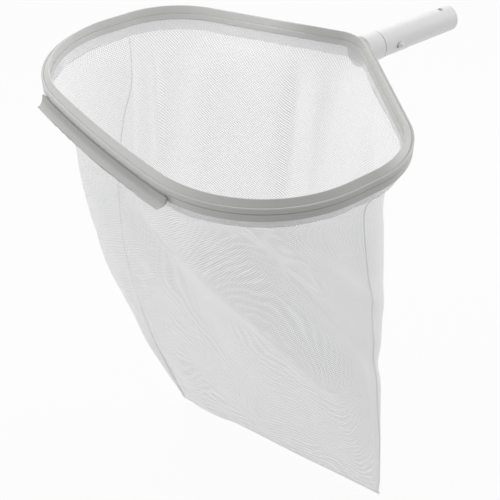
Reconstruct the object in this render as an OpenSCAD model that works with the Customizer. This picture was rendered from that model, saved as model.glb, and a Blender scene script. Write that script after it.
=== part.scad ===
// Leaf skimmer net: a deep mesh bag clamped in a two-part moulded ring, with a scoop lip
// along the front edge and a push-in spigot for a telescopic pole.
//
// Frame: X runs along the pole, towards the pole. Z is up, out of the mouth of the bag.
// The origin is on the spigot's axis, where the cylindrical wall ends and its lead-in starts.

/* [Ring] */
// Overall width of the ring, across the pole
ring_w = 392; // [340:1:460]
// Length of the ring, from its front face to its rear corner
ring_l = 312; // [290:1:400]
// Height of the ring's section below its rim
ring_h = 12.5; // [11:0.5:16]
// Width of the ring's section, seen from above
band_w = 9.9; // [9.7:0.1:12]
// Outer radius of the slightly bowed front edge
front_bow_r = 1200; // [900:10:2000]
// Outer radius of the two front corners
front_r = 121; // [90:1:140]
// Outer radius of the two side corners
side_r = 95; // [60:1:110]
// Outer radius of the rear corner, at the pole
apex_r = 42; // [26:0.5:48]
// Angle between each rear edge and the pole
rear_slope = 60; // [55:1:66]
// Height of the rail's top above the spigot's axis
ring_rise = 15.5; // [15.5:0.5:20]

/* [Frame rail] */
// Thickness of the rail's outer wall
rail_wall = 2.2; // [1.8:0.1:2.3]
// Thickness of the rail's floor
floor_t = 2.2; // [1.8:0.1:3]
// Thickness of the inner wall that the mesh is clamped against
clamp_wall = 1.4; // [1.2:0.1:1.5]
// Depth of the groove round the outer face below the rail's top
groove_z = 4.6; // [3.5:0.1:5]
// Height of that groove
groove_h = 1; // [0.6:0.1:1.4]
// Depth of that groove into the wall
groove_t = 0.8; // [0.4:0.1:1.2]
// Bevel along the rail's outer edges
rail_bevel = 0.6; // [0.3:0.1:1]

/* [Retainer ring] */
// Thickness of the retainer where it covers the rail
flange_t = 2.4; // [1.8:0.1:3]
// Height of the sloping rim above the rail
rim_h = 4.5; // [4:0.5:7]
// Radius along the rim's top edge
rim_r = 0.8; // [0.5:0.1:1.2]
// Wall left round the hollow under the rim
rim_wall = 1.6; // [1.2:0.1:1.8]
// How far the bead stands inwards of the rim
bead_out = 1.5; // [1:0.1:1.6]
// Thickness of the bead
bead_w = 2.3; // [2.2:0.1:2.6]
// Depth of the bead's top below the rail's top
bead_top = 4.1; // [3.6:0.1:5]
// Depth of the bead's lower edge below the rail's top
bead_low = 10.4; // [8.5:0.1:11.5]
// Gap between the two moulded parts
fit_gap = 0.25; // [0.15:0.05:0.3]

/* [Snap hooks] */
// Length of a hook along the ring
hook_l = 14; // [8:1:20]
// Thickness of a hook's leg
hook_t = 1; // [0.8:0.1:1.1]
// Reach of the barb under the floor
barb_t = 0.6; // [0.4:0.1:0.6]
// Thickness of the barb
barb_h = 0.9; // [0.7:0.1:1.2]
// Distance of the outer pair of hooks from the middle of the front edge
front_hook_y = 54; // [46:1:60]
// Distance of each hook on a rear edge from the middle of that edge
rear_hook_s = 44; // [30:1:55]

/* [Scoop lip] */
// Length of the lip
lip_l = 209; // [170:1:230]
// How far the lip stands out in front of the ring
lip_reach = 9; // [5:0.1:14]
// Depth below the rail's top at which the lip starts
lip_root_z = 6.4; // [6:0.1:7]
// Drop from there to the free edge
lip_drop = 10.5; // [8:0.5:16]
// Thickness of the lip
lip_t = 1.6; // [1.2:0.1:2]
// Radius of the lip's lower corners
lip_corner_r = 9; // [5:0.5:10]
// How far the lip's root stops short of its ends
lip_end = 4; // [2:0.5:8]
// Half length of the tongue that plugs into the frame
tongue_half = 66; // [50:1:70]
// How far the tongue reaches past the rail's wall
tongue_past = 0.6; // [0.4:0.1:0.6]

/* [Pole spigot] */
// Diameter of the part that the pole slides over
pilot_d = 28; // [27:0.1:29]
// Length of that part
pilot_l = 72; // [60:1:80]
// Diameter of the root, which the end of the pole grips
root_d = 28.8; // [28.5:0.1:29.6]
// Length of the root
root_l = 37; // [34:1:45]
// Wall of the spigot
spigot_wall = 2.6; // [2.2:0.1:3]
// Length of the lead-in bevel at the open end
lead_in = 1; // [0.5:0.1:2]
// Diameter of the collar behind the root
collar_d = 30.4; // [29.8:0.1:31]
// Distance from the ring's rear corner to the collar's shoulder, which stops the pole
collar_l = 23.5; // [20:0.5:30]
// Width and depth of the relief groove in front of the shoulder
relief = 0.6; // [0.4:0.1:0.8]
// Diameter of the upright pin hole near the open end
pin_hole_d = 6.5; // [5:0.5:8]
// Distance of the pin hole from the end of the wall
pin_hole_x = 14.5; // [10:0.5:20]

/* [Stub] */
// Length of the frame's base that the collar butts against
base_l = 3; // [2:0.5:4]
// Length of the stub that plugs into the spigot
stub_l = 15; // [14:0.5:17]
// Wall of the stub
stub_wall = 2.4; // [2:0.1:3]
// Radial gap between the stub and the spigot
stub_gap = 0.05; // [0.03:0.01:0.1]
// Distance of the screw from the collar's shoulder
screw_x = 9; // [7:0.5:11]
// Diameter of the screw boss
boss_d = 11; // [10:0.5:12]
// How far the boss stands below the collar
boss_drop = 2.4; // [2.2:0.1:4]

/* [Stub screw] */
// Shank diameter
screw_d = 4; // [3:0.1:4.5]
// Head diameter
screw_head_d = 8; // [7:0.1:8.4]
// Head height
screw_head_h = 1.8; // [1.4:0.1:2]
// Length of the point that reaches past the stub's wall
screw_tip = 1.2; // [0.5:0.1:2]

/* [Spring clip] */
// Distance of the buttons from the end of the wall
button_x = 88; // [84:0.5:92]
// Diameter of a button
button_d = 6; // [5:0.1:6.4]
// How far a button stands out of the spigot
button_out = 4; // [3:0.1:4.2]
// Thickness of the clip's strip
strip_t = 0.8; // [0.6:0.1:1]
// Width of the clip's strip
strip_w = 9; // [7:0.5:10]
// Distance of the clip's bend from the end of the wall
bend_x = 46; // [42:1:48]
// Radius of the bend, to the outside of the strip
bend_r = 4; // [3:0.1:4.5]
// Distance from a button to the end of its leg
leg_past = 6.5; // [5:0.5:8]
// Length of the leg that lies along the spigot's wall
leg_flat = 18; // [14:1:22]
// Gap round a button in its slot
button_gap = 0.35; // [0.3:0.05:0.5]
// Length added to the slot behind the button, for the swing of the leg
swing_room = 1.5; // [1.4:0.1:2]
// Clearance between the clip and the spigot's bore
clip_gap = 0.25; // [0.2:0.05:0.3]

/* [Bag] */
// Depth of the bag below the rail's top
bag_depth = 592; // [400:1:700]
// Thickness of the hem, two layers of mesh folded together
hem_t = 1.2; // [1:0.1:1.6]
// Thickness of the mesh
mesh_t = 0.8; // [0.6:0.1:1.2]
// How far the double hem reaches below the rail's top
hem_drop = 23.5; // [18:0.5:30]
// Gap between sewn or clamped pieces
cloth_gap = 0.3; // [0.2:0.05:0.3]
// Half length of the bottom seam
seam_half = 152; // [110:1:180]
// Distance of the bottom seam's middle behind the ring's front face
seam_back = 224; // [170:1:240]
// Sideways shift of the bottom seam
seam_shift = 6; // [-20:1:20]
// Turn of the bottom seam about the vertical
seam_turn = 20; // [0:1:25]
// How early the bag draws in below the ring: 1 is an even taper, more is earlier
draw_in = 1.4; // [1:0.05:1.8]
// Direction in which the hanging bag is widest, as an angle from the pole
wide_angle = -38; // [-60:1:0]
// Extra width in that direction at mid height, as a share of the width there
fullness = 0.18; // [0:0.01:0.3]
// How far the middle of the bag hangs back along that direction
sway = 28; // [0:1:40]
// Width of the sewn edges that stand out of the bag
seam_w = 5; // [3:0.5:8]
// Height of the bottom binding
binding_h = 5; // [3:0.5:8]

/* [Hidden] */

ROUND = 48;
PLASTIC_GREY = [0.80, 0.80, 0.79];
PLASTIC_WHITE = [0.93, 0.93, 0.93];
STEEL = [0.72, 0.73, 0.75];
MESH_WHITE = [0.90, 0.91, 0.92];

// Stations along the pole axis
shoulder_x = -(pilot_l + root_l);
apex_x = shoulder_x - collar_l;
front_x = apex_x - ring_l;
base_x = apex_x + base_l;

// The ring's outline: two front corners, two side corners and the rear corner
half_w = ring_w / 2;
edge_normal = 90 - rear_slope;
apex_centre = [apex_x - apex_r, 0];
corner_point_x = apex_centre[0] + apex_r / sin(rear_slope);
side_centre_y = half_w - side_r;
side_centre_x = corner_point_x - (side_r + side_centre_y * sin(edge_normal)) / cos(edge_normal);
front_centre_y = half_w - front_r;
front_bow = asin(front_centre_y / (front_bow_r - front_r));
front_bow_x = front_x + front_bow_r;
front_centre_x = front_bow_x - (front_bow_r - front_r) * cos(front_bow);
side_centre = [side_centre_x, side_centre_y];
front_centre = [front_centre_x, front_centre_y];
rear_end = side_centre + side_r * [cos(edge_normal), sin(edge_normal)];
rear_start = apex_centre + apex_r * [cos(edge_normal), sin(edge_normal)];
rear_edge_l = norm(rear_end - rear_start);
side_edge_l = side_centre_x - front_centre_x;

// Levels and widths in the ring's section. Widths are measured inwards from the outer face.
floor_top = -(ring_h - floor_t);
bead_back = band_w - bead_w;
rim_in = band_w - bead_out;
clamp_in = bead_back - hem_t - 2 * cloth_gap;
clamp_out = clamp_in - clamp_wall;
clamp_top = -(flange_t + cloth_gap);
hem_out = clamp_in + cloth_gap;
retainer_out = rail_wall + fit_gap;
hook_out = (rail_wall + clamp_out - hook_t + barb_t) / 2;

// The spigot and what is in it
bore_r = pilot_d / 2 - spigot_wall;
leg_y = sqrt(pow(bore_r, 2) - pow(strip_w / 2, 2)) - clip_gap - strip_t;
button_tip = root_d / 2 + button_out;
stub_r = bore_r - stub_gap;
head_seat_z = -(collar_d / 2 + boss_drop - screw_head_h - 0.2);

// The bag's sections, from the hem's lower edge (0) to the bottom seam (1)
bag_top = -(hem_drop + cloth_gap);
bag_bottom = -(bag_depth - binding_h);
seam_centre = [front_x + seam_back, seam_shift];
ring_middle = [(front_x + apex_x) / 2, 0];
wide_axis = [cos(wide_angle), sin(wide_angle)];
side_seam_x = (front_centre_x + side_centre_x) / 2;
LEVELS = 14;
ARC_STEPS = 8;
CUT = 1;
BOW_FN = 720;
// Each straight stretch runs this far into the corners at its ends, and sits this much lower and
// further in than they do, so that the joints are clean
LAP = 0.3;
WITNESS = [-0.02, -0.055];
// Extra plastic left on the rail's floor and wall, where the stub's base meets them
PAD = 0.1;

function arc_points(centre, r, from, to, steps) =
    [for (i = [0 : steps]) centre + r * [cos(from + (to - from) * i / steps), sin(from + (to - from) * i / steps)]];
function between(a, b, steps) = [for (i = [1 : steps - 1]) a + (b - a) * i / steps];
function flip_y(p) = [p[0], -p[1]];
function reversed(list) = [for (i = [len(list) - 1 : -1 : 0]) list[i]];

// Left half of the outline in front of the side seam, and behind it, drawn in by d
function front_half(d) = concat(
    arc_points(front_centre, front_r - d, 90, 180 - front_bow, ARC_STEPS),
    [for (i = [1, 2]) [front_bow_x, 0] + (front_bow_r - d) * [-cos(front_bow * (1 - i / 3)), sin(front_bow * (1 - i / 3))]]);
function rear_half(d) = concat(
    arc_points(side_centre, side_r - d, 90, edge_normal, ARC_STEPS),
    between(rear_end - d * [cos(edge_normal), sin(edge_normal)],
            rear_start - d * [cos(edge_normal), sin(edge_normal)], 4),
    arc_points(apex_centre, apex_r - d, edge_normal, edge_normal / 4, 3));
function mirrored(half, middle) = concat(half, [middle], reversed([for (p = half) flip_y(p)]));
function front_line(d) = mirrored(front_half(d), [front_x + d, 0]);
function rear_line(d) = mirrored(rear_half(d), [apex_x - d, 0]);

// One half of the ring's plan, from the front edge to the rear corner
module plan(d) {
    polygon(concat(front_line(d), reversed(rear_line(d))));
}

// The front end of the ring's plan, with true arcs
module front_end(d) {
    for (side = [1, -1]) {
        translate([front_centre_x, side * front_centre_y]) circle(r = front_r - d, $fn = 96);
    }
    intersection() {
        translate([front_bow_x, 0]) circle(r = front_bow_r - d, $fn = BOW_FN);
        translate([front_x - CUT, -front_bow_r * sin(front_bow)]) square([front_r, 2 * front_bow_r * sin(front_bow)]);
    }
}

// Sweeps children() along the bowed front edge, up to y on both sides. x = 0 is the outer face.
module along_front(y) {
    turn = asin(y / front_bow_r);
    translate([front_bow_x, 0, ring_rise])
        rotate([0, 0, 180 - turn])
            rotate_extrude(angle = 2 * turn, $fn = BOW_FN)
                translate([front_bow_r, 0])
                    children();
}

// A straight stretch of the ring's section, starting at point p with its outer face towards angle a
module run(p, a, length) {
    translate([p[0], p[1], ring_rise])
        rotate([90, 0, a])
            translate([WITNESS[0], WITNESS[1], -LAP])
                linear_extrude(length + 2 * LAP)
                    children();
}

// A corner of the ring's section
module corner(centre, r, from, to) {
    translate([centre[0], centre[1], ring_rise])
        rotate([0, 0, from])
            rotate_extrude(angle = to - from, $fn = 96)
                translate([r, 0])
                    children();
}

// The section in children(), taken round the whole outline. x = 0 is the outer face.
module around() {
    corner(apex_centre, apex_r, -edge_normal, edge_normal) children();
    for (side = [1, -1]) {
        mirror([0, side < 0 ? 1 : 0, 0]) {
            run(rear_end, edge_normal, rear_edge_l) children();
            corner(side_centre, side_r, edge_normal, 90) children();
            run([front_centre_x, half_w], 90, side_edge_l) children();
            corner(front_centre, front_r, 90, 180 - front_bow) children();
        }
    }
    along_front(front_bow_r * sin(front_bow) + LAP) translate(WITNESS) children();
}

// Places a hook: its local X points out of the ring, and its local Y runs along it
module at_hooks() {
    for (y = [-front_hook_y, -front_hook_y / 3, front_hook_y / 3, front_hook_y]) {
        translate([front_bow_x, 0, ring_rise])
            rotate(180 - asin(y / front_bow_r))
                translate([front_bow_r, 0, 0])
                    children();
    }
    for (side = [1, -1]) {
        mirror([0, side < 0 ? 1 : 0, 0]) {
            for (s = [-rear_hook_s, rear_hook_s]) {
                translate([(rear_start[0] + rear_end[0]) / 2, (rear_start[1] + rear_end[1]) / 2, ring_rise])
                    rotate(edge_normal)
                        translate([0, s, 0])
                            children();
            }
        }
    }
}

// Cylinder along the pole axis, from x0 to x1
module along_x(r, x0, x1) {
    translate([x0, 0, 0]) rotate([0, 90, 0]) cylinder(r = r, h = x1 - x0, $fn = ROUND);
}

module rail_section() {
    polygon([
        [-rail_bevel, 0],
        [-rail_wall, 0],
        [-rail_wall, floor_top],
        [-clamp_out, floor_top],
        [-clamp_out, clamp_top],
        [-clamp_in, clamp_top],
        [-clamp_in, -ring_h],
        [-rail_bevel, -ring_h],
        [0, -ring_h + rail_bevel],
        [0, -groove_z - groove_h],
        [-groove_t, -groove_z - groove_h + groove_t / 2],
        [-groove_t, -groove_z],
        [0, -groove_z],
        [0, -rail_bevel]
    ]);
}

module retainer_section() {
    slope = atan2(rim_h, rim_in - retainer_out);
    hollow_out = clamp_out + fit_gap;
    hollow_in = bead_back - rim_wall / 2;
    low_r = bead_w / 2;
    // Sloping rim, the step down to the bead, the bead's round lower edge, and the hollow under the rim
    polygon(concat(
        [[-retainer_out, -flange_t], [-retainer_out, 0]],
        arc_points([-rim_in + rim_r, rim_h - rim_r], rim_r, 90 - slope, 180, 6),
        [[-rim_in, -bead_top]],
        arc_points([-band_w + rim_r, -bead_top - rim_r], rim_r, 90, 180, 4),
        arc_points([-band_w + low_r, -bead_low + low_r], low_r, 180, 360, ARC_STEPS),
        [
            [-bead_back, -flange_t],
            [-hollow_in, -flange_t],
            [-hollow_in, (hollow_in - retainer_out) * tan(slope) - 1.5 * rim_wall],
            [-hollow_out, (hollow_out - retainer_out) * tan(slope) - 1.5 * rim_wall],
            [-hollow_out, -flange_t]
        ]));
}

// The frame: rail, hook windows, the slot for the lip, and the base with its stub
module outer_frame() color(PLASTIC_GREY) {
    difference() {
        union() {
            around() rail_section();
            stub();
        }
        at_hooks() hook_window();
        along_front(tongue_half + fit_gap)
            translate([-rail_wall - tongue_past - fit_gap, -lip_root_z - lip_t - fit_gap])
                square([rail_wall + tongue_past + fit_gap + CUT, lip_t + 2 * fit_gap]);
        along_x(stub_r - stub_wall, base_x, base_x + stub_l + CUT);
        screw_hole(screw_d + 0.2);
    }
}

// Base behind the rear corner, and the stub that carries the spigot. Inside the ring the base
// stays below the rail's floor.
module stub() {
    reach = apex_r - sqrt(pow(apex_r, 2) - pow(collar_d / 2, 2));
    difference() {
        along_x(collar_d / 2, apex_x - reach - rail_wall / 2, base_x);
        translate([0, 0, ring_rise + floor_top + PAD]) linear_extrude(collar_d) plan(rail_wall + PAD);
    }
    along_x(stub_r, base_x - CUT, base_x + stub_l);
}

// Upright hole for the screw's shank, from below up to the axis
module screw_hole(d) {
    translate([shoulder_x - screw_x, 0, -collar_d]) cylinder(d = d, h = collar_d, $fn = ROUND);
}

// Window through the floor for a hook's leg, wider below for its barb
module hook_window() {
    leg = [hook_t + 2 * fit_gap, hook_l + 2 * fit_gap];
    translate([-hook_out - leg[0] + fit_gap, -leg[1] / 2, -ring_h - CUT]) cube([leg[0], leg[1], floor_t + 2 * CUT]);
    translate([-hook_out - leg[0] + fit_gap, -leg[1] / 2, -ring_h - CUT])
        cube([leg[0] + barb_t, leg[1], CUT + barb_h + fit_gap]);
}

// The retainer: sloping rim, bead and snap hooks
module retainer_ring() color(PLASTIC_GREY) {
    around() retainer_section();
    at_hooks() hook();
}

module hook() {
    tip = -ring_h + 0.1;
    translate([-hook_out - hook_t, -hook_l / 2, tip]) cube([hook_t, hook_l, ring_h - 0.1 - flange_t / 2]);
    translate([-hook_out - hook_t, -hook_l / 2, tip]) cube([hook_t + barb_t, hook_l, barb_h]);
}

// Point on the lip's middle surface, t from 0 at the root to 90 at the free edge
function lip_middle(t) =
    [fit_gap + lip_t / 2 + (lip_reach - fit_gap - lip_t) * (1 - cos(t)), -lip_root_z - lip_drop * sin(t) + lip_t / 2 * sin(t)];
function lip_normal(t) =
    let (n = [lip_drop * cos(t), (lip_reach - fit_gap) * sin(t)]) n / norm(n);

// The lip's section: x is the distance in front of the ring
module lip_section() {
    outer = [for (t = [0 : 9 : 90]) lip_middle(t) + lip_t / 2 * lip_normal(t)];
    inner = [for (t = [90 : -9 : 0]) lip_middle(t) - lip_t / 2 * lip_normal(t)];
    polygon(concat(outer, inner));
    translate(lip_middle(90)) circle(d = lip_t, $fn = 32);
}

// Front view of the lip, with rounded lower corners
module lip_face() {
    bottom = -lip_root_z - lip_drop - lip_t;
    square_l = lip_l - 2 * lip_corner_r;
    translate([-square_l / 2, bottom]) square([square_l, -bottom]);
    translate([-lip_l / 2, bottom + lip_corner_r]) square([lip_l, -bottom - lip_corner_r]);
    for (side = [-1, 1]) {
        translate([side * square_l / 2, bottom + lip_corner_r]) circle(r = lip_corner_r, $fn = ROUND);
    }
}

// The scoop lip: a blade that curves forward, a root that follows the frame, and a tongue
module scoop_lip() color(PLASTIC_GREY) {
    depth = -lip_root_z - lip_t;
    intersection() {
        along_front(lip_l / 2) lip_section();
        translate([front_bow_x, 0, ring_rise])
            rotate([90, 0, -90])
                linear_extrude(2 * front_bow_r)
                    lip_face();
    }
    along_front(tongue_half)
        translate([-rail_wall - tongue_past, depth])
            square([rail_wall + tongue_past + fit_gap + lip_t / 2, lip_t]);
    difference() {
        along_front(lip_l / 2 - lip_end)
            translate([-front_r, depth])
                square([front_r + fit_gap + lip_t / 2, lip_t]);
        translate([0, 0, ring_rise + depth - CUT])
            linear_extrude(lip_t + 2 * CUT)
                front_end(-fit_gap);
    }
}

// The spigot: collar with the screw boss, root, pilot and lead-in, with its holes
module handle_spigot() color(PLASTIC_WHITE) {
    difference() {
        union() {
            along_x(collar_d / 2, base_x + 0.1, shoulder_x);
            along_x(root_d / 2 - relief, shoulder_x - CUT, shoulder_x + relief + CUT);
            along_x(root_d / 2, shoulder_x + relief, -pilot_l);
            along_x(pilot_d / 2, -pilot_l - CUT, 0);
            rotate([0, 90, 0]) cylinder(r1 = pilot_d / 2, r2 = pilot_d / 2 - lead_in / 2, h = lead_in, $fn = ROUND);
            translate([shoulder_x - screw_x, 0, -(collar_d / 2 + boss_drop)])
                cylinder(d = boss_d, h = collar_d / 2, $fn = ROUND);
        }
        along_x(bore_r, apex_x, lead_in + CUT);
        translate([-pin_hole_x, 0, -pilot_d]) cylinder(d = pin_hole_d, h = 2 * pilot_d, $fn = ROUND);
        button_slot();
        screw_hole(screw_d + 0.3);
        translate([shoulder_x - screw_x, 0, -2 * collar_d])
            cylinder(d = screw_head_d + 0.6, h = 2 * collar_d + head_seat_z, $fn = ROUND);
    }
}

// Slot through both walls for the buttons, longer towards the ring
module button_slot() {
    slot_r = button_d / 2 + button_gap;
    for (x = [-button_x, -button_x - swing_room]) {
        translate([x, 0, 0]) rotate([90, 0, 0]) cylinder(r = slot_r, h = 2 * root_d, center = true, $fn = ROUND);
    }
    translate([-button_x - swing_room, -root_d, -slot_r]) cube([swing_room, 2 * root_d, 2 * slot_r]);
}

// Pan-head screw, driven from below through the collar's boss into the stub
module socket_screw() color(STEEL) {
    length = -head_seat_z - (stub_r - stub_wall) + screw_tip;
    translate([shoulder_x - screw_x, 0, head_seat_z - 0.1]) {
        difference() {
            translate([0, 0, -screw_head_h]) cylinder(d = screw_head_d, h = screw_head_h, $fn = ROUND);
            for (a = [0, 90]) {
                rotate(a)
                    translate([-screw_head_d / 4, -0.4, -screw_head_h - CUT])
                        cube([screw_head_d / 2, 0.8, CUT + screw_head_h / 2]);
            }
        }
        cylinder(d = screw_d, h = length - 1, $fn = ROUND);
        translate([0, 0, length - 1]) cylinder(d1 = screw_d, d2 = 1, h = 1, $fn = ROUND);
    }
}

// The clip's bend, open towards the ring
module clip_bend() color(STEEL) {
    translate([-bend_x, 0, -strip_w / 2]) {
        rotate(-90)
            rotate_extrude(angle = 180, $fn = ROUND)
                translate([bend_r - strip_t, 0])
                    square([strip_t, strip_w]);
    }
}

// One leg of the clip in plan: from the bend out to the wall, then along it
module leg_plan() {
    knee_x = -(button_x + leg_past - leg_flat);
    start_x = -bend_x - 0.3;
    polygon([
        [start_x, bend_r],
        [start_x, bend_r - strip_t],
        [knee_x, leg_y],
        [-button_x - leg_past, leg_y],
        [-button_x - leg_past, leg_y + strip_t],
        [knee_x, leg_y + strip_t]
    ]);
}

module clip_leg() {
    difference() {
        translate([0, 0, -strip_w / 2]) linear_extrude(strip_w) leg_plan();
        translate([-button_x, leg_y + strip_t / 2, 0])
            rotate([90, 0, 0])
                cylinder(d = button_d / 2 + 0.1, h = 4 * strip_t, center = true, $fn = ROUND);
    }
}

module clip_leg_left() color(STEEL) clip_leg();
module clip_leg_right() color(STEEL) mirror([0, 1, 0]) clip_leg();

// A button: round-nosed head, and a stem riveted through the leg
module button() {
    dome_r = button_d / 2;
    head_l = button_tip - leg_y - strip_t - 0.05;
    translate([-button_x, leg_y + strip_t + 0.05, 0]) rotate([-90, 0, 0]) {
        cylinder(r = dome_r, h = head_l - dome_r, $fn = ROUND);
        translate([0, 0, head_l - dome_r]) sphere(r = dome_r, $fn = ROUND);
    }
    translate([-button_x, leg_y - 0.05, 0]) rotate([-90, 0, 0]) {
        cylinder(d = button_d / 2, h = strip_t + 0.2, $fn = ROUND);
        translate([0, 0, -0.6]) cylinder(d = button_d * 0.75, h = 0.6, $fn = ROUND);
    }
}

module button_left() color(PLASTIC_WHITE) button();
module button_right() color(PLASTIC_WHITE) mirror([0, 1, 0]) button();

// Double hem of the bag, clamped between the frame's inner wall and the retainer's bead
module hem_band() color(MESH_WHITE) {
    around()
        translate([-hem_out - hem_t, -hem_drop])
            square([hem_t, hem_drop + clamp_top - cloth_gap]);
}

// A point of the bag. p is on the hem's outline, t is the level, and s is the side of the
// bottom seam that its panel comes down on: -1 in front, 1 behind.
function seam_point(q, s, w, e) =
    seam_centre + [s * e * cos(seam_turn) - q * w * sin(seam_turn), q * w * cos(seam_turn) + s * e * sin(seam_turn)];
function bag_point(p, d, t, s, w, e) =
    let (
        k = 1 - pow(1 - t, draw_in),
        base = p * (1 - k) + seam_point(p[1] / (half_w - d), s, w, e) * k,
        middle = ring_middle * (1 - k) + seam_centre * k,
        shift = sin(180 * t) * (fullness * ((base - middle) * wide_axis) - sway),
        q = base + shift * wide_axis
    )
    [q[0], q[1], ring_rise + bag_top + (bag_bottom - bag_top) * t];
function bag_skin(line, d, s, w, e) =
    [for (i = [0 : LEVELS]) for (p = line) bag_point(p, d, i / LEVELS, s, w, e)];

// Closed shell between an outer and an inner skin of the same grid
module skin_shell(outer, inner, columns, s) {
    rows = LEVELS + 1;
    count = rows * columns;
    quads = concat(
        [for (i = [0 : rows - 2]) for (j = [0 : columns - 2])
            [i * columns + j, i * columns + j + 1, (i + 1) * columns + j + 1, (i + 1) * columns + j]],
        [for (i = [0 : rows - 2]) for (j = [0 : columns - 2])
            [count + i * columns + j, count + (i + 1) * columns + j,
             count + (i + 1) * columns + j + 1, count + i * columns + j + 1]],
        [for (j = [0 : columns - 2]) [j + 1, j, count + j, count + j + 1]],
        [for (j = [0 : columns - 2])
            [(rows - 1) * columns + j, (rows - 1) * columns + j + 1,
             count + (rows - 1) * columns + j + 1, count + (rows - 1) * columns + j]],
        [for (i = [0 : rows - 2]) [i * columns, (i + 1) * columns, count + (i + 1) * columns, count + i * columns]],
        [for (i = [0 : rows - 2])
            [(i + 1) * columns + columns - 1, i * columns + columns - 1,
             count + i * columns + columns - 1, count + (i + 1) * columns + columns - 1]]
    );
    triangles = [for (q = quads) each [[q[0], q[1], q[2]], [q[0], q[2], q[3]]]];
    turned = [for (f = triangles) [f[2], f[1], f[0]]];
    polyhedron(concat(outer, inner), s < 0 ? triangles : turned);
}

module bag_panel(line_out, line_in, s) {
    out_d = hem_out;
    in_d = hem_out + mesh_t;
    skin_shell(
        bag_skin(line_out, out_d, s, seam_half, mesh_t + cloth_gap / 2),
        bag_skin(line_in, in_d, s, seam_half - mesh_t, cloth_gap / 2),
        len(line_out),
        s);
}

// Panel outlines stop just short of the side seams
function panel_line(line, d, s) = concat(
    [[side_seam_x + s * cloth_gap / 2, half_w - d]],
    line,
    [[side_seam_x + s * cloth_gap / 2, -half_w + d]]);

module bag_front_panel() color(MESH_WHITE) {
    bag_panel(panel_line(front_line(hem_out), hem_out, -1),
              panel_line(front_line(hem_out + mesh_t), hem_out + mesh_t, -1), -1);
}
module bag_rear_panel() color(MESH_WHITE) {
    bag_panel(panel_line(rear_line(hem_out), hem_out, 1),
              panel_line(rear_line(hem_out + mesh_t), hem_out + mesh_t, 1), 1);
}

// Sewn edge down one side of the bag, side = 1 on the left and -1 on the right
module side_seam(side) {
    along = [for (i = [0 : LEVELS])
        bag_point([side_seam_x, side * (half_w - hem_out)], hem_out, i / LEVELS, 0, seam_half, 0)];
    out = [for (i = [0 : LEVELS])
        let (a = seam_turn * i / LEVELS) side * [-sin(a), cos(a)]];
    across = [for (i = [0 : LEVELS])
        let (a = seam_turn * i / LEVELS) [cos(a), sin(a)]];
    points = [for (i = [0 : LEVELS]) each [
        for (c = [[cloth_gap, -1], [cloth_gap + seam_w, -1], [cloth_gap + seam_w, 1], [cloth_gap, 1]])
            [
                along[i][0] + out[i][0] * c[0] + across[i][0] * c[1] * mesh_t,
                along[i][1] + out[i][1] * c[0] + across[i][1] * c[1] * mesh_t,
                along[i][2]
            ]
    ]];
    sides = [for (i = [0 : LEVELS - 1]) for (j = [0 : 3])
        [4 * i + j, 4 * (i + 1) + j, 4 * (i + 1) + (j + 1) % 4, 4 * i + (j + 1) % 4]];
    triangles = concat(
        [[0, 1, 2], [0, 2, 3]],
        [for (q = sides) each [[q[0], q[1], q[2]], [q[0], q[2], q[3]]]],
        [[4 * LEVELS + 2, 4 * LEVELS + 1, 4 * LEVELS], [4 * LEVELS + 3, 4 * LEVELS + 2, 4 * LEVELS]]);
    turned = [for (f = triangles) [f[2], f[1], f[0]]];
    polyhedron(points, side > 0 ? triangles : turned);
}
module side_seam_left() color(MESH_WHITE) side_seam(1);
module side_seam_right() color(MESH_WHITE) side_seam(-1);

// Binding along the bottom of the bag
module bottom_seam() color(MESH_WHITE) {
    thick = 2 * mesh_t + cloth_gap;
    long = 2 * (seam_half + seam_w);
    translate([seam_centre[0], seam_centre[1], ring_rise + bag_bottom - cloth_gap - binding_h])
        rotate(seam_turn)
            translate([-thick / 2, -long / 2, 0])
                cube([thick, long, binding_h]);
}

outer_frame();
retainer_ring();
scoop_lip();
handle_spigot();
socket_screw();
clip_bend();
clip_leg_left();
clip_leg_right();
button_left();
button_right();
hem_band();
bag_front_panel();
bag_rear_panel();
side_seam_left();
side_seam_right();
bottom_seam();
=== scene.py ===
import math

import bmesh
import bpy
import numpy as np
from mathutils import Matrix, Vector


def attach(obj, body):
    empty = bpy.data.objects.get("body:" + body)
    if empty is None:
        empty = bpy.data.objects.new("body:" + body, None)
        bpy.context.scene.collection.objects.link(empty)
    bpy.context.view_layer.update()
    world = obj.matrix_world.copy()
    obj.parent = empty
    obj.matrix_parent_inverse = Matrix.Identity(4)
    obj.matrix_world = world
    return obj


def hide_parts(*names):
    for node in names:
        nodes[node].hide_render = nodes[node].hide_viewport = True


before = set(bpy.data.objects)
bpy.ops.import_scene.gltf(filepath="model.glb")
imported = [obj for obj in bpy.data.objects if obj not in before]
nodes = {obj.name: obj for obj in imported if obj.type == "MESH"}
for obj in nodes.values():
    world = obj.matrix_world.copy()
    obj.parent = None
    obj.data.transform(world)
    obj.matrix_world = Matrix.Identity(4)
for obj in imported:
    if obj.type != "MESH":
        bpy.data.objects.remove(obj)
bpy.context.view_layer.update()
scene = bpy.context.scene
BODY = "net"

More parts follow.
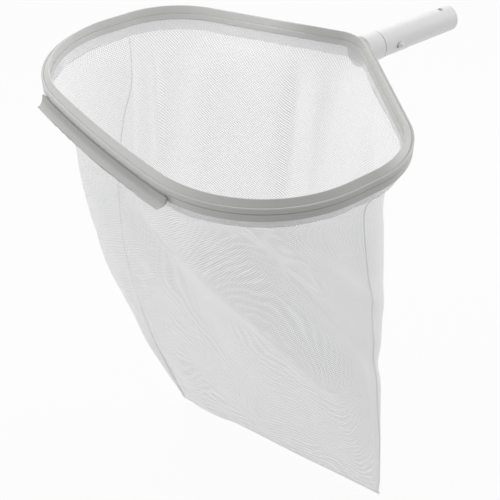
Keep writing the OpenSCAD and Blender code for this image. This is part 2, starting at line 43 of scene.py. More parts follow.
# ---------------------------------------------------------------- sizes of the ring, in metres
MM = 0.001
RISE = 15.5 * MM              # the ring's top, above the spigot's axis
HALF_W = 196 * MM
FRONT_X = -444.5 * MM         # the ring's foremost and rearmost points
APEX_X = -132.5 * MM
BOW_R, FRONT_R, SIDE_R, APEX_R = 1200 * MM, 121 * MM, 95 * MM, 42 * MM
SLOPE = math.radians(30)      # of the straight stretch from each side corner to the apex
APEX_C = np.array([APEX_X - APEX_R, 0.0])
CORNER_X = APEX_C[0] + APEX_R / math.cos(SLOPE)
SIDE_Y = HALF_W - SIDE_R
SIDE_C = np.array([CORNER_X - (SIDE_R + SIDE_Y * math.sin(SLOPE)) / math.cos(SLOPE), SIDE_Y])
BOW = math.asin((HALF_W - FRONT_R) / (BOW_R - FRONT_R))
FRONT_C = np.array([FRONT_X + BOW_R - (BOW_R - FRONT_R) * math.cos(BOW), HALF_W - FRONT_R])
RING_MIDDLE = np.array([(FRONT_X + APEX_X) / 2, 0.0])

# ---------------------------------------------------------------- sizes of the hem and the bag
HEM_IN = 6.7 * MM             # middle of the hem, inwards from the ring's outer face
HEM_TOP = 3.0 * MM            # the hem's edges, below the ring's top
HEM_DROP = 23.5 * MM
HEM_H = HEM_DROP - HEM_TOP
HEM_T = 1.2 * MM              # thickness of the hem's solid
BAG_DEPTH = 592 * MM          # from the ring's top to the foot of the binding
BINDING = 5 * MM
SEAM_C = np.array([FRONT_X + 223 * MM, 10 * MM])      # the bottom seam's middle, from above
SEAM_HALF = 156 * MM
SEAM_TURN = math.radians(20)
SEAM_GAP = 0.6 * MM           # half the distance between the two panels at the bottom seam
DRAW_IN = 1.4                 # how soon the bag narrows: 1 is evenly, more is sooner
WIDE = math.radians(-38)      # the bag is fuller along this direction, and sways back along it
WIDE_AXIS = np.array([math.cos(WIDE), math.sin(WIDE)])
FULLNESS = 0.18
SWAY = 28 * MM
FOOT_SAGS = ((8 * MM, 0.70, 0.17), (1.5 * MM, -0.2, 0.3))     # depth, place, spread

# Below the hem the mesh gathers inwards, most at the two sides that outline it in the photograph
TUCK = 25 * MM
TUCK_LEAST = 0.3              # share of it midway between those sides
TUCK_START, TUCK_END = 0.05, 0.18      # how fast it comes and goes, as shares of the depth
# Further down the left side hangs full
LEFT_FULL = 9 * MM
LEFT_LEVEL, LEFT_SPREAD = 0.75, 0.28   # where, as shares of the depth
LEFT_FOCUS = 1.5              # above 1 keeps it to the mesh that faces left

# Folds follow lines in the photograph: from x, y to x, y and half width in pixels, then height
NEAR_FOLDS = (
    (162, 222, 325, 380, 12, 14 * MM),
    (200, 205, 372, 360, 10, -8 * MM),
    (136, 215, 222, 350, 9, -8 * MM),
    (205, 300, 330, 400, 8, -4 * MM),
    (240, 215, 372, 300, 9, 5 * MM),
)
FAR_FOLDS = (
    (128, 50, 134, 210, 5, -7 * MM),
    (152, 40, 160, 150, 5, -8 * MM),
    (298, 60, 284, 200, 9, 11 * MM),
    (322, 60, 312, 200, 10, -8 * MM),
    (200, 40, 195, 200, 14, -4 * MM),
    (376, 80, 368, 180, 6, 6 * MM),
)
FOLD_END = 0.045              # how softly a fold ends, as a share of its length
FOLD_OVERRUN = 0.02
SIDE_SOFT = 0.08              # how softly the near wall turns into the far wall
SLACKS = (((6, 22), 7, 2.2 * MM), ((14, 40), 11, 0.7 * MM))   # cells, seed, height
FADE_TOP, FADE_FOOT = 0.10, 0.06       # folds and slack fade out towards the bag's edges

# ---------------------------------------------------------------- the photograph's camera
PHOTO = 500
FOCAL_PX = 900.7
SENSOR = 36
EYE = Vector((-0.7435, -0.6060, 0.4302))
AHEAD = Vector((0.4733, 0.6137, -0.6319)).normalized()
UP = Vector((0.3859, 0.5004, 0.7750))
RIGHT = AHEAD.cross(UP).normalized()
UP = RIGHT.cross(AHEAD).normalized()


def pixels(p):
    """Where points p (n by 3) fall in the photograph, in its own pixels."""
    q = np.asarray(p) - np.array(EYE)
    scale = FOCAL_PX / (q @ np.array(AHEAD))
    return PHOTO / 2 + scale * (q @ np.array(RIGHT)), PHOTO / 2 - scale * (q @ np.array(UP))


# ---------------------------------------------------------------- curves and noise
def arc(centre, r, a0, a1, step=math.radians(2)):
    n = max(2, int(abs(a1 - a0) / step) + 1)
    a = np.linspace(a0, a1, n)
    return np.stack([centre[0] + r * np.cos(a), centre[1] + r * np.sin(a)], 1)


def outline(d):
    """Closed outline of the ring, drawn in by d: from its left side round the front."""
    q = math.pi / 2
    bow = arc((FRONT_X + BOW_R, 0), BOW_R - d, 2 * q - BOW, 2 * q, math.radians(0.5))
    front = np.vstack([arc(FRONT_C, FRONT_R - d, q, 2 * q - BOW), bow])
    rear = np.vstack([arc(SIDE_C, SIDE_R - d, q, SLOPE), arc(APEX_C, APEX_R - d, SLOPE, 0)])
    return np.vstack([front, front[::-1] * [1, -1], rear * [1, -1], rear[::-1][1:]])


def lengths(line):
    """How far along a line each of its points lies."""
    steps = np.linalg.norm(np.diff(line, axis=0), axis=1)
    return np.concatenate([[0], np.cumsum(steps)])


def resample(loop, n, start):
    """n points evenly along a closed loop from the place nearest to start, and its length."""
    fine_n = 20000             # points between which the nearest place is looked for
    pts = np.vstack([loop, loop[:1]])
    s = lengths(pts)
    fine = np.linspace(0, s[-1], fine_n + 1)[:-1]
    xy = np.stack([np.interp(fine, s, pts[:, i]) for i in (0, 1)], 1)
    xy = np.roll(xy, -np.argmin(np.linalg.norm(xy - start, axis=1)), axis=0)
    return xy[(np.arange(n) * fine_n / n).astype(int)], s[-1]


def bell(x, width):
    return np.exp(-(x / width) ** 2)


def rise(x, width):
    """A smooth step from 0 to 1, halfway at x = 0."""
    return 1 / (1 + np.exp(-x / width))


def smooth_noise(shape, cells, seed):
    """Smooth noise in -1..1 on a grid, closed round its columns."""
    rng = np.random.default_rng(seed)
    rows, cols = cells
    g = rng.uniform(-1, 1, (rows + 3, cols))
    y = np.linspace(0, rows, shape[0])
    x = np.linspace(0, cols, shape[1], endpoint=False)
    yi, xi = np.floor(y).astype(int), np.floor(x).astype(int)
    fy, fx = y - yi, x - xi
    fy, fx = fy * fy * (3 - 2 * fy), fx * fx * (3 - 2 * fx)
    a = g[yi][:, xi % cols] * (1 - fx) + g[yi][:, (xi + 1) % cols] * fx
    b = g[yi + 1][:, xi % cols] * (1 - fx) + g[yi + 1][:, (xi + 1) % cols] * fx
    return a * (1 - fy[:, None]) + b * fy[:, None]


# ---------------------------------------------------------------- meshes
def add_object(name, mesh, mat, smooth=True):
    if smooth:
        mesh.polygons.foreach_set("use_smooth", [True] * len(mesh.polygons))
    mesh.materials.append(mat)
    ob = bpy.data.objects.new(name, mesh)
    scene.collection.objects.link(ob)
    return ob


def make_mesh(name, verts, faces, mat, smooth=True):
    mesh = bpy.data.meshes.new(name)
    mesh.from_pydata([tuple(v) for v in verts], [], faces)
    mesh.validate()
    mesh.update()
    return add_object(name, mesh, mat, smooth)


def quads(rows, cols, wrap):
    """Faces between the points of a grid, closed round its columns if wrap is true."""
    faces = []
    for i in range(rows - 1):
        for j in range(cols if wrap else cols - 1):
            a, b, k = i * cols, (i + 1) * cols, (j + 1) % cols
            faces.append((a + j, b + j, b + k, a + k))
    return faces


def uv_layer(ob, per_vertex):
    """Gives each loop the weave coordinate (metres along, metres across) of its vertex."""
    mesh = ob.data
    layer = mesh.uv_layers.new(name="weave")
    idx = np.zeros(len(mesh.loops), int)
    mesh.loops.foreach_get("vertex_index", idx)
    layer.data.foreach_set("uv", np.asarray(per_vertex)[idx].ravel())


def place(ob, slot, *replaced):
    """ob rides on the net and stands for the replaced nodes. slot is not used."""
    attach(ob, BODY)
    if replaced:
        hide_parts(*replaced)


# ---------------------------------------------------------------- shader nodes
def new_material(name):
    m = bpy.data.materials.new(name)
    m.use_nodes = True
    nt = m.node_tree
    return m, nt, nt.nodes["Principled BSDF"]


def node(nt, kind, **props):
    n = nt.nodes.new(kind)
    for k, v in props.items():
        setattr(n, k, v)
    return n


def object_coords(nt):
    return node(nt, "ShaderNodeTexCoord").outputs["Object"]


def split(nt, vector):
    """The x, y and z of a vector."""
    xyz = node(nt, "ShaderNodeSeparateXYZ")
    nt.links.new(vector, xyz.inputs[0])
    return xyz.outputs


def mapping(nt, vector, **values):
    m = node(nt, "ShaderNodeMapping")
    for k, v in values.items():
        m.inputs[k].default_value = v
    nt.links.new(vector, m.inputs["Vector"])
    return m.outputs["Vector"]


def noise(nt, coord, scale, detail=2.0, rough=0.5):
    n = node(nt, "ShaderNodeTexNoise")
    n.inputs["Scale"].default_value = scale
    n.inputs["Detail"].default_value = detail
    n.inputs["Roughness"].default_value = rough
    nt.links.new(coord, n.inputs["Vector"])
    return n.outputs["Fac"]


def ramp(nt, fac, low, high):
    """A colour ramp between two stops, each a place and a colour."""
    r = node(nt, "ShaderNodeValToRGB")
    nt.links.new(fac, r.inputs["Fac"])
    for stop, (position, colour) in zip(r.color_ramp.elements, (low, high)):
        stop.position = position
        stop.color = (*colour, 1)
    return r.outputs["Color"]


def mix_colour(nt, fac, a, b, blend="MIX"):
    m = node(nt, "ShaderNodeMix", data_type="RGBA", blend_type=blend)
    for sock, v in ((m.inputs[0], fac), (m.inputs[6], a), (m.inputs[7], b)):
        if isinstance(v, bpy.types.NodeSocket):
            nt.links.new(v, sock)
        else:
            sock.default_value = v if isinstance(v, float) else (*v, 1)
    return m.outputs[2]


def calc(nt, op, *values):
    m = node(nt, "ShaderNodeMath", operation=op)
    for sock, v in zip(m.inputs, values):
        if isinstance(v, bpy.types.NodeSocket):
            nt.links.new(v, sock)
        else:
            sock.default_value = v
    return m.outputs[0]


def map_range(nt, v, lo, hi, to_lo, to_hi):
    m = node(nt, "ShaderNodeMapRange")
    nt.links.new(v, m.inputs["Value"])
    for k, x in (("From Min", lo), ("From Max", hi), ("To Min", to_lo), ("To Max", to_hi)):
        m.inputs[k].default_value = x
    return m.outputs["Result"]


def bump(nt, bsdf, height, strength, distance):
    b = node(nt, "ShaderNodeBump")
    b.inputs["Strength"].default_value = strength
    b.inputs["Distance"].default_value = distance
    nt.links.new(height, b.inputs["Height"])
    nt.links.new(b.outputs["Normal"], bsdf.inputs["Normal"])


# ---------------------------------------------------------------- hard materials
CLOUDS, SPECKS, GRAIN = 14, 900, 1600          # noise scales, in cells per metre
SPECK_SHARE = 0.35
WORN_FROM, WORN_TO = 0.505, 0.56               # Pointiness of rubbed edges; a flat face has 0.5


def plastic(name, base, shade, rough, wear=0.0, tint=None):
    """Moulded plastic: cloudy, with a fine satin grain.

    wear, from 0 to 1, makes rubbed edges paler, and tint colours one place of the part, on some
    parts with painted light.
    """
    m, nt, p = new_material(name)
    obj = object_coords(nt)
    body = mix_colour(nt, noise(nt, obj, CLOUDS, 3), base, shade)
    specks = ramp(nt, noise(nt, obj, SPECKS, 1), (0.0, (0.94, 0.94, 0.94)), (0.45, (1, 1, 1)))
    body = mix_colour(nt, SPECK_SHARE, body, specks, "MULTIPLY")
    if wear:
        edge = node(nt, "ShaderNodeNewGeometry").outputs["Pointiness"]
        pale = tuple(min(1.0, c * 1.12 + 0.03) for c in base)
        body = mix_colour(nt, map_range(nt, edge, WORN_FROM, WORN_TO, 0.0, wear), body, pale)
    if tint:
        share, colour = tint(nt, split(nt, obj))
        body = mix_colour(nt, share, body, colour)
    nt.links.new(body, p.inputs["Base Color"])
    grain = noise(nt, obj, GRAIN, 2, 0.6)
    satin = map_range(nt, grain, 0.2, 0.8, rough - 0.06, rough + 0.08)
    nt.links.new(satin, p.inputs["Roughness"])
    bump(nt, p, grain, 0.25, 0.08 * MM)
    p.inputs["Specular IOR Level"].default_value = 0.45
    return m


def disc_painted_light(nt, at):
    """Painted light: the frame's base disc, in shade from the rail's underside down, is painted as
    white as the collar on it.
    """
    disc_x, disc_z = -141 * MM, 2.2 * MM       # it lies beyond the one and below the other
    beyond = map_range(nt, at[0], disc_x - 1 * MM, disc_x + 1 * MM, 0.0, 1.0)
    below = map_range(nt, at[2], disc_z - 0.5 * MM, disc_z + 0.5 * MM, 1.0, 0.0)
    return calc(nt, "MULTIPLY", beyond, below), (0.97, 0.97, 0.97)


def lip_painted_light(nt, at):
    """Painted light: the lip is painted paler towards its thin lower edge, where light falls on
    its upturned flare.
    """
    return map_range(nt, at[2], -5 * MM, 4 * MM, 1.0, 0.0), (0.84, 0.84, 0.83)


def collar_line(nt, at):
    """A dark line round the spigot where its collar ends."""
    collar_x, half_width = -108.7 * MM, 0.9 * MM
    away = calc(nt, "ABSOLUTE", calc(nt, "SUBTRACT", at[0], collar_x))
    return map_range(nt, away, 0.6 * half_width, half_width, 0.9, 0.0), (0.2, 0.2, 0.2)


def steel(name):
    m, nt, p = new_material(name)
    streak = noise(nt, mapping(nt, object_coords(nt), Scale=(60, 900, 900)), 1.0, 3)
    colour = ramp(nt, streak, (0.2, (0.52, 0.53, 0.55)), (0.8, (0.72, 0.73, 0.75)))
    nt.links.new(colour, p.inputs["Base Color"])
    p.inputs["Metallic"].default_value = 1.0
    nt.links.new(map_range(nt, streak, 0.2, 0.8, 0.22, 0.38), p.inputs["Roughness"])
    bump(nt, p, streak, 0.15, 0.05 * MM)
    return m


# ---------------------------------------------------------------- soft materials
BIAS = math.radians(40)       # how far the mesh is cut askew
WAVER = 0.35                  # how far its threads stray, as a share of their pitch
THREAD_EDGE = 0.08            # softness of a thread's edge, as a share of half its pitch
MESH_CLOUDS, MESH_STRAYS = 9, 30       # noise scales, in cells per metre


def mesh_cloth(name, base, shade, pitch, cover):
    """Open mesh: two sets of fine threads over and under each other, with holes between.

    Threads lie pitch apart, and cover is the share of each pitch that one fills.
    """
    m, nt, p = new_material(name)
    uv = node(nt, "ShaderNodeUVMap", uv_map="weave").outputs["UV"]
    at = split(nt, mapping(nt, uv, Rotation=(0, 0, BIAS)))
    obj = object_coords(nt)
    waver = map_range(nt, noise(nt, obj, MESH_STRAYS, 2), 0, 1, -WAVER, WAVER)
    phases = [calc(nt, "ADD", calc(nt, "MULTIPLY", at[axis], 1 / pitch), waver) for axis in (0, 1)]
    threads = []                               # 0 on a thread's middle, 1 midway between threads
    for phase in phases:
        near = calc(nt, "ABSOLUTE", calc(nt, "SUBTRACT", calc(nt, "FRACT", phase), 0.5))
        threads.append(calc(nt, "MULTIPLY", near, 2.0))
    solid = [map_range(nt, t, cover - THREAD_EDGE, cover + THREAD_EDGE, 1.0, 0.0) for t in threads]
    nt.links.new(calc(nt, "MAXIMUM", *solid), p.inputs["Alpha"])
    # Threads pass over and under: the height of each set follows the other set's place
    heights = []
    for thread, other in zip(threads, phases[::-1]):
        swing = calc(nt, "SINE", calc(nt, "MULTIPLY", other, math.pi))
        crown = calc(nt, "SUBTRACT", 1.0, calc(nt, "MULTIPLY", thread, thread))
        heights.append(calc(nt, "MULTIPLY", crown, map_range(nt, swing, -1, 1, 0.55, 1.0)))
    height = calc(nt, "MAXIMUM", *heights)
    bump(nt, p, height, 0.5, 0.2 * MM)
    body = mix_colour(nt, noise(nt, obj, MESH_CLOUDS, 3), base, shade)
    shadow = ramp(nt, height, (0.35, (0.86, 0.86, 0.87)), (0.95, (1, 1, 1)))
    nt.links.new(mix_colour(nt, 0.6, body, shadow, "MULTIPLY"), p.inputs["Base Color"])
    p.inputs["Roughness"].default_value = 0.75
    p.inputs["Sheen Weight"].default_value = 0.25
    p.inputs["Sheen Roughness"].default_value = 0.4
    p.inputs["Specular IOR Level"].default_value = 0.3
    return m


def thread_material(name, base):
    m, nt, p = new_material(name)
    twist = node(nt, "ShaderNodeTexWave")
    twist.inputs["Scale"].default_value = 700
    twist.inputs["Distortion"].default_value = 2
    nt.links.new(object_coords(nt), twist.inputs["Vector"])
    body = ramp(nt, twist.outputs["Fac"], (0.1, tuple(c * 0.84 for c in base)), (0.8, base))
    nt.links.new(body, p.inputs["Base Color"])
    p.inputs["Roughness"].default_value = 0.7
    p.inputs["Sheen Weight"].default_value = 0.3
    bump(nt, p, twist.outputs["Fac"], 0.4, 0.1 * MM)
    return m


GREY, GREY_SHADE = (0.64, 0.64, 0.625), (0.60, 0.60, 0.585)
MESH, MESH_SHADE = (0.88, 0.88, 0.89), (0.85, 0.85, 0.86)
# The frame's base disc is painted white: painted light in the shade under the rail.
frame_mat = plastic("moulded_grey", GREY, GREY_SHADE, 0.42, tint=disc_painted_light)
retainer_mat = plastic("moulded_grey_top", GREY, GREY_SHADE, 0.40)
# The lip is painted paler towards its lower edge: painted light.
lip_mat = plastic("soft_grey_lip", (0.43, 0.43, 0.42), (0.40, 0.40, 0.39), 0.48, 0.35, lip_painted_light)
spigot_mat = plastic("white_spigot", (0.97, 0.97, 0.97), (0.94, 0.94, 0.95), 0.36, 0.25,
                     collar_line)
button_mat = plastic("white_button", (0.92, 0.92, 0.91), (0.88, 0.88, 0.88), 0.3, 0.25)
steel_mat = steel("bright_steel")
bag_mat = mesh_cloth("fine_mesh", MESH, MESH_SHADE, 2.2 * MM, 0.24)
hem_mat = mesh_cloth("hem_mesh", MESH, MESH_SHADE, 2.0 * MM, 0.31)
binding_mat = mesh_cloth("binding_mesh", (0.96, 0.96, 0.97), (0.94, 0.94, 0.95), 1.2 * MM, 0.24)
stitch_mat = thread_material("white_thread", (0.95, 0.95, 0.95))

for mat, names in (
    (frame_mat, ["outer_frame"]),
    (retainer_mat, ["retainer_ring"]),
    (lip_mat, ["scoop_lip"]),
    (spigot_mat, ["handle_spigot"]),
    (steel_mat, ["socket_screw", "clip_bend", "clip_leg_left", "clip_leg_right"]),
    (button_mat, ["button_left", "button_right"]),
):
    for name in names:
        slots = nodes[name].data.materials
        for i in range(len(slots)):
            slots[i] = mat

# ---------------------------------------------------------------- the bag's shape
AROUND, DOWN = 288, 132
START = np.array([(FRONT_C[0] + SIDE_C[0]) / 2 + 12 * MM, HALF_W - HEM_IN])     # the left seam
RIM, RIM_LENGTH = resample(outline(HEM_IN), AROUND, START)
levels = np.linspace(0, 1, DOWN)       # from the hem's lower edge to the binding


def foot_sag(q):
    """How the bottom seam hangs, for places q from -1 to 1 along it: most near its left end."""
    return -sum(depth * bell(q - middle, spread) for depth, middle, spread in FOOT_SAGS)


def bag_surface(rim, t):
    """Points of the bag below rim (n by 2) at the levels t (m), as m by n by 3."""
    t = np.asarray(t)[:, None]
    k = 1 - (1 - t) ** DRAW_IN
    q = rim[:, 1] / (HALF_W - HEM_IN)
    foot = SEAM_C + np.outer(q * SEAM_HALF, [-math.sin(SEAM_TURN), math.cos(SEAM_TURN)])
    side = np.where(rim[:, 0] < START[0], -1, 1)[:, None]
    foot = foot + side * SEAM_GAP * [math.cos(SEAM_TURN), math.sin(SEAM_TURN)]
    x, y = (rim[:, i] * (1 - k) + foot[:, i] * k for i in (0, 1))
    mx, my = (RING_MIDDLE[i] * (1 - k) + SEAM_C[i] * k for i in (0, 1))
    wide = (x - mx) * WIDE_AXIS[0] + (y - my) * WIDE_AXIS[1]
    shift = np.sin(math.pi * t) * (FULLNESS * wide - SWAY)
    x, y = x + shift * WIDE_AXIS[0], y + shift * WIDE_AXIS[1]
    z = RISE - HEM_DROP - (BAG_DEPTH - BINDING - HEM_DROP) * t + foot_sag(q) * k ** 3
    return np.stack([x, y, z], -1)


def grid_normals(p):
    """Outward unit normals of a grid that is closed in its columns."""
    du = np.roll(p, -1, 1) - np.roll(p, 1, 1)
    dv = np.gradient(p, axis=0)
    n = np.cross(du, dv)
    n /= np.linalg.norm(n, axis=-1, keepdims=True) + 1e-12
    return -n if (n * (p - p.mean(1, keepdims=True))).sum() < 0 else n


bag = bag_surface(RIM, levels)
normals = grid_normals(bag)
tuck = TUCK * (1 - np.exp(-levels / TUCK_START)) * np.exp(-levels / TUCK_END)
full = LEFT_FULL * bell(levels - LEFT_LEVEL, LEFT_SPREAD)
sideways = normals @ np.array(RIGHT)
leftness = np.clip(-sideways, 0, 1) ** LEFT_FOCUS
tuck_share = TUCK_LEAST + (1 - TUCK_LEAST) * np.abs(sideways)
bag = bag + normals * (full[:, None] * leftness - tuck[:, None] * tuck_share)[..., None]

normals = grid_normals(bag)
px, py = (v.reshape(bag.shape[:2]) for v in pixels(bag.reshape(-1, 3)))
near_wall = rise(-(normals @ np.array(AHEAD)), SIDE_SOFT)


def fold(x0, y0, x1, y1, width, height):
    """A ridge (or a valley, if height is below 0) along a line, fading at both ends."""
    dx, dy = x1 - x0, y1 - y0
    length = math.hypot(dx, dy)
    along = ((px - x0) * dx + (py - y0) * dy) / length ** 2
    across = ((px - x0) * dy - (py - y0) * dx) / length
    ends = rise(along + FOLD_OVERRUN, FOLD_END) * rise(1 + FOLD_OVERRUN - along, FOLD_END)
    return height * bell(across, width) * ends


bulge = np.zeros(bag.shape[:2])
for wall, folds in ((near_wall, NEAR_FOLDS), (1 - near_wall, FAR_FOLDS)):
    for line in folds:
        bulge += fold(*line) * wall
for cells, seed, height in SLACKS:
    bulge += smooth_noise(bulge.shape, cells, seed) * height
fade = np.clip(levels / FADE_TOP, 0, 1) * np.clip((1 - levels) / FADE_FOOT, 0, 1)
fade = (fade * fade * (3 - 2 * fade))[:, None]
bag = bag + normals * (bulge * fade)[..., None]

# ---------------------------------------------------------------- the bag's two panels
PANEL_FLAT = (RIM_LENGTH / 2, BAG_DEPTH - BINDING - HEM_DROP)
FOOT_WIDTH = 2 * SEAM_HALF


def panel(name, columns):
    """A piece of the bag's grid as one sheet, with its weave coordinates in metres."""
    pts = bag[:, columns]
    rows, cols = pts.shape[:2]
    ob = make_mesh(name, pts.reshape(-1, 3), quads(rows, cols, wrap=False), bag_mat)
    u = np.arange(cols) * RIM_LENGTH / AROUND
    u = (u - u.mean()) * np.linspace(1, FOOT_WIDTH / PANEL_FLAT[0], rows)[:, None]
    v = np.repeat(np.linspace(0, BAG_DEPTH, rows)[:, None], cols, 1)
    uv_layer(ob, np.stack([u, v], -1).reshape(-1, 2))
    return ob


right_seam = int(np.argmin(np.linalg.norm(RIM - START * [1, -1], axis=1)))
front_panel = panel("bag_front", np.arange(0, right_seam + 1))
rear_panel = panel("bag_rear", np.arange(right_seam, AROUND + 1) % AROUND)

# ---------------------------------------------------------------- hem
HEM_N, HEM_ROWS = 480, 14
HEM_SKINS = 0.9 * HEM_T       # from skin to skin, a little inside the hem's solid
HEM_EDGE = 0.7                # share of that along the two edges
HEM_FREE = 8 * MM             # the hem is clamped down to here, and waves below it
HEM_WAVES = (((1, 60), 3, 0.7 * MM), ((1, 19), 5, 0.8 * MM))  # cells, seed, height

hem_rim, _ = resample(outline(HEM_IN), HEM_N, START)
tangent = np.roll(hem_rim, -1, 0) - np.roll(hem_rim, 1, 0)
tangent /= np.linalg.norm(tangent, axis=1, keepdims=True)
inward = np.stack([tangent[:, 1], -tangent[:, 0]], 1)
if (inward * (RING_MIDDLE - hem_rim)).sum() < 0:
    inward = -inward
down_hem = np.linspace(0, HEM_H, HEM_ROWS)
free = np.clip((down_hem - HEM_FREE) / (HEM_H - HEM_FREE), 0, 1)
wave = sum(smooth_noise((HEM_ROWS, HEM_N), cells, seed) * height
           for cells, seed, height in HEM_WAVES)

verts, uvs = [], []
for skin in (-0.5, 0.5):
    for i, drop in enumerate(down_hem):
        edge = 1.0 if 0 < i < HEM_ROWS - 1 else HEM_EDGE
        off = skin * HEM_SKINS * edge + wave[i] * free[i]
        level = np.full(HEM_N, RISE - HEM_TOP - drop)
        verts.append(np.column_stack([hem_rim + inward * off[:, None], level]))
        uvs.append(np.column_stack([np.arange(HEM_N) * RIM_LENGTH / HEM_N, np.full(HEM_N, drop)]))
faces = []
skin_size, last_row = HEM_ROWS * HEM_N, (HEM_ROWS - 1) * HEM_N
for a, d, c, b in quads(HEM_ROWS, HEM_N, wrap=True):
    faces.append((a, b, c, d))
    faces.append(tuple(skin_size + v for v in (a, d, c, b)))
for j in range(HEM_N):
    k = (j + 1) % HEM_N
    faces.append((j, skin_size + j, skin_size + k, k))
    a, b = last_row + j, last_row + k
    faces.append((a, b, skin_size + b, skin_size + a))
hem = make_mesh("bag_hem", np.vstack(verts), faces, hem_mat)
uv_layer(hem, np.vstack(uvs))

# ---------------------------------------------------------------- seams
SIDE_W, SIDE_T = 1.6 * MM, 1.0 * MM
FOOT_W, FOOT_T = BINDING - 0.6 * MM, 2.2 * MM
FOOT_LAP = 3 * MM             # how far the binding goes past the panels' corners
FOOT_ROWS = 90
FOOT_GAP = 0.2 * MM           # from the panels' lower edge down to the binding's spine
RIBBON_START = 0.3 * MM       # from the spine outwards
RIBBON_WEAVE = 0.3 * MM       # how far the weave goes on across half a sewn edge's thickness
# Section of a sewn edge: shares of its width outwards, and of half its thickness across
RIBBON_RING = ((0, -0.8), (0.35, -1), (0.8, -0.9), (1, -0.35),
               (1, 0.35), (0.8, 0.9), (0.35, 1), (0, 0.8))
# A stitch from end to end: shares of its length from the middle, and of its radius
STITCH_RINGS = ((-0.5, 0.35), (-0.3, 1), (0.3, 1), (0.5, 0.35))
STITCH_SIDES = 6
STITCH_FLAT = 0.6             # height of a stitch over its width
STITCH_MARGIN = 0.15          # space before each stitch, as a share of the gap
SEAM_ENDS = 2                 # points at each end of a side seam without stitches
SIDE_STITCH = {"gap": 3.2 * MM, "length": 2.0 * MM, "radius": 0.14 * MM, "lift": 0.5 * MM}
FOOT_STITCH = {"gap": 3.2 * MM, "length": 2.1 * MM, "radius": 0.25 * MM, "lift": 1.12 * MM}
SIDE_STITCH_OUT = 1.2 * MM    # from the panels' edge outwards
FOOT_STITCH_DOWN = 2.4 * MM   # from the binding's top


def ribbon(name, spine, out, thick, width, mat):
    """A flat sewn edge: a rounded strip that stands out from the spine along out."""
    run = np.gradient(spine, axis=0)
    run /= np.linalg.norm(run, axis=1, keepdims=True)
    out = out - run * (out * run).sum(1, keepdims=True)
    out /= np.linalg.norm(out, axis=1, keepdims=True)
    across = np.cross(run, out)
    ring = [(RIBBON_START + a * width, b) for a, b in RIBBON_RING]
    n, m = len(spine), len(ring)
    pts = np.array([spine + out * a + across * b * thick / 2 for a, b in ring]).transpose(1, 0, 2)
    caps = [tuple(range(m - 1, -1, -1)), tuple((n - 1) * m + j for j in range(m))]
    ob = make_mesh(name, pts.reshape(-1, 3), quads(n, m, wrap=True) + caps, mat)
    uv_layer(ob, [(s, a + b * RIBBON_WEAVE) for s in lengths(spine) for a, b in ring])
    return ob


def stitches(name, spine, side, gap, length, radius, lift):
    """A row of short stitches on both faces of a seam: little round-ended bars."""
    s = lengths(spine)
    bm = bmesh.new()

    def at(values, q):
        return np.array([np.interp(q, s, values[:, i]) for i in range(3)])

    for face in (-1, 1):
        for c in range(int(s[-1] / gap)):
            a = (c + STITCH_MARGIN) * gap
            b = a + length
            n = at(side, (a + b) / 2)
            n /= np.linalg.norm(n)
            ends = [at(spine, q) + n * face * lift for q in (a, b)]
            middle, way = (ends[0] + ends[1]) / 2, ends[1] - ends[0]
            u = Vector(n)
            w = Vector(way).normalized().cross(u)
            rings = []
            for share, swell in STITCH_RINGS:
                centre = Vector(middle + way * share)
                rings.append([])
                for i in range(STITCH_SIDES):
                    t = i * 2 * math.pi / STITCH_SIDES
                    reach = (u * math.cos(t) * STITCH_FLAT + w * math.sin(t)) * radius * swell
                    rings[-1].append(bm.verts.new(centre + reach))
            for p, q in zip(rings, rings[1:]):
                for i in range(STITCH_SIDES):
                    k = (i + 1) % STITCH_SIDES
                    bm.faces.new((p[i], p[k], q[k], q[i]))
            bm.faces.new(rings[0][::-1])
            bm.faces.new(rings[-1])
    mesh = bpy.data.meshes.new(name)
    bm.to_mesh(mesh)
    bm.free()
    return add_object(name, mesh, stitch_mat)


centre_line = bag.mean(1)
for label, column in (("left", 0), ("right", right_seam)):
    spine = bag[:, column]
    out = spine - centre_line
    out[:, 2] = 0
    seam = ribbon(f"seam_{label}", spine, out, SIDE_T, SIDE_W, binding_mat)
    place(seam, "seam_fabric", f"side_seam_{label}")
    face = np.cross(np.gradient(spine, axis=0), out)
    line = spine + out / np.linalg.norm(out, axis=1, keepdims=True) * SIDE_STITCH_OUT
    sewn = slice(SEAM_ENDS, -SEAM_ENDS)
    stitch = stitches(f"seam_stitch_{label}", line[sewn], face[sewn], **SIDE_STITCH)
    place(stitch, "seam_fabric")

foot_dir = np.array([-math.sin(SEAM_TURN), math.cos(SEAM_TURN), 0])
q = np.linspace(-1, 1, FOOT_ROWS)
foot_z = RISE - (BAG_DEPTH - BINDING) - FOOT_GAP
spine = np.array([*SEAM_C, foot_z]) + np.outer(q * (SEAM_HALF + FOOT_LAP), foot_dir)
spine[:, 2] += foot_sag(q)
down = np.tile([0, 0, -1.0], (FOOT_ROWS, 1))
binding = ribbon("bag_bottom_binding", spine, down, FOOT_T, FOOT_W, binding_mat)
place(binding, "seam_fabric", "bottom_seam")
face = np.tile(np.cross(foot_dir, [0, 0, 1.0]), (FOOT_ROWS, 1))
foot_stitch = stitches("bottom_stitch", spine + [0, 0, -FOOT_STITCH_DOWN], face, **FOOT_STITCH)
place(foot_stitch, "seam_fabric")

place(front_panel, "mesh_fabric", "bag_front_panel")
place(rear_panel, "mesh_fabric", "bag_rear_panel")
place(hem, "hem_fabric", "hem_band")

# ---------------------------------------------------------------- floor and background
WHITE = (1, 1, 1, 1)
FLOOR_Z = RISE - BAG_DEPTH - 4 * MM
FLOOR_REACH = 9
FLOOR_GLOW = 0.92             # how much of the floor's look is plain white background
AMBIENT = 0.39


def background_rays(nt):
    """1 for rays that see the background: the camera's, mirrored ones and those through glass."""
    path = node(nt, "ShaderNodeLightPath").outputs
    seen = calc(nt, "MAXIMUM", path["Is Camera Ray"], path["Is Glossy Ray"])
    return calc(nt, "MAXIMUM", seen, path["Is Transmission Ray"])


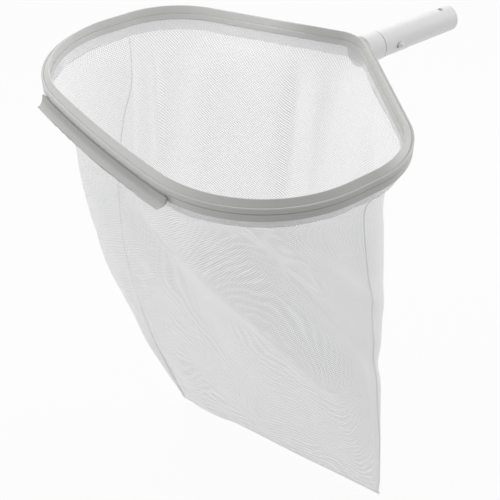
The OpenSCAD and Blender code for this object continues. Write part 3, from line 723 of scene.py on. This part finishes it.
def mix_background(nt, fac, lit, seen, output):
    """Sends lit to the output's surface, and seen in its place where fac is 1."""
    mix = node(nt, "ShaderNodeMixShader")
    nt.links.new(fac, mix.inputs["Fac"])
    nt.links.new(lit.outputs[0], mix.inputs[1])
    nt.links.new(seen.outputs[0], mix.inputs[2])
    nt.links.new(mix.outputs[0], node(nt, output).inputs["Surface"])


floor_mat, nt, _ = new_material("pale_floor")
nt.nodes.clear()
matte = node(nt, "ShaderNodeBsdfDiffuse")
matte.inputs["Color"].default_value = (0.82, 0.82, 0.82, 1)
share = calc(nt, "MULTIPLY", background_rays(nt), FLOOR_GLOW)
mix_background(nt, share, matte, node(nt, "ShaderNodeEmission"), "ShaderNodeOutputMaterial")
corners = [(x * FLOOR_REACH, y * FLOOR_REACH, FLOOR_Z)
           for x, y in ((-1, -1), (1, -1), (1, 1), (-1, 1))]
floor = make_mesh("floor", corners, [(0, 1, 2, 3)], floor_mat, smooth=False)

world = bpy.data.worlds.new("studio")
scene.world = world
world.use_nodes = True
nt = world.node_tree
nt.nodes.clear()
skies = []
for strength in (AMBIENT, 1.0):
    sky = node(nt, "ShaderNodeBackground")
    sky.inputs["Color"].default_value = WHITE
    sky.inputs["Strength"].default_value = strength
    skies.append(sky)
mix_background(nt, background_rays(nt), *skies, "ShaderNodeOutputWorld")


# ---------------------------------------------------------------- lamps and camera
def put(ob, position, rotation):
    scene.collection.objects.link(ob)
    ob.location = position
    ob.rotation_mode = "QUATERNION"
    ob.rotation_quaternion = rotation


def lamp(name, position, target, size, power):
    light = bpy.data.lights.new(name, "AREA")
    light.shape = "SQUARE"
    light.size = size
    light.energy = power
    ob = bpy.data.objects.new(name, light)
    put(ob, position, (Vector(target) - Vector(position)).to_track_quat("-Z", "Y"))
    return ob


MIDDLE = (-0.27, 0, -0.2)      # the point of the net that the lamps face
for name, position, size, power in (           # metres and watts
    ("key", (-1.6, 0.9, 0.4), 1.2, 10),
    ("side", (1.6, -0.5, 0.6), 1.2, 15),
    ("back", (0.4, 1.6, 1.0), 1.4, 10),
    ("top", (-0.2, 0.6, 1.6), 1.0, 5.5),
):
    lamp(name, position, MIDDLE, size, power)
# A weak strip above the mouth lights the inner face of the ring's far side
bounce = lamp("bounce", (-0.29, 0.06, 0.06), (-0.29, 0.19, 0.0), 0.26, 0.05)
bounce.data.shape, bounce.data.size_y = "RECTANGLE", 0.03
bounce.visible_camera = False

cam_data = bpy.data.cameras.new("camera")
cam_data.sensor_width = SENSOR
cam_data.lens = FOCAL_PX / PHOTO * SENSOR
cam_data.clip_start, cam_data.clip_end = 0.05, 50
cam = bpy.data.objects.new("camera", cam_data)
put(cam, EYE, Matrix((RIGHT, UP, -AHEAD)).transposed().to_quaternion())
scene.camera = cam
scene.view_settings.view_transform = "Standard"
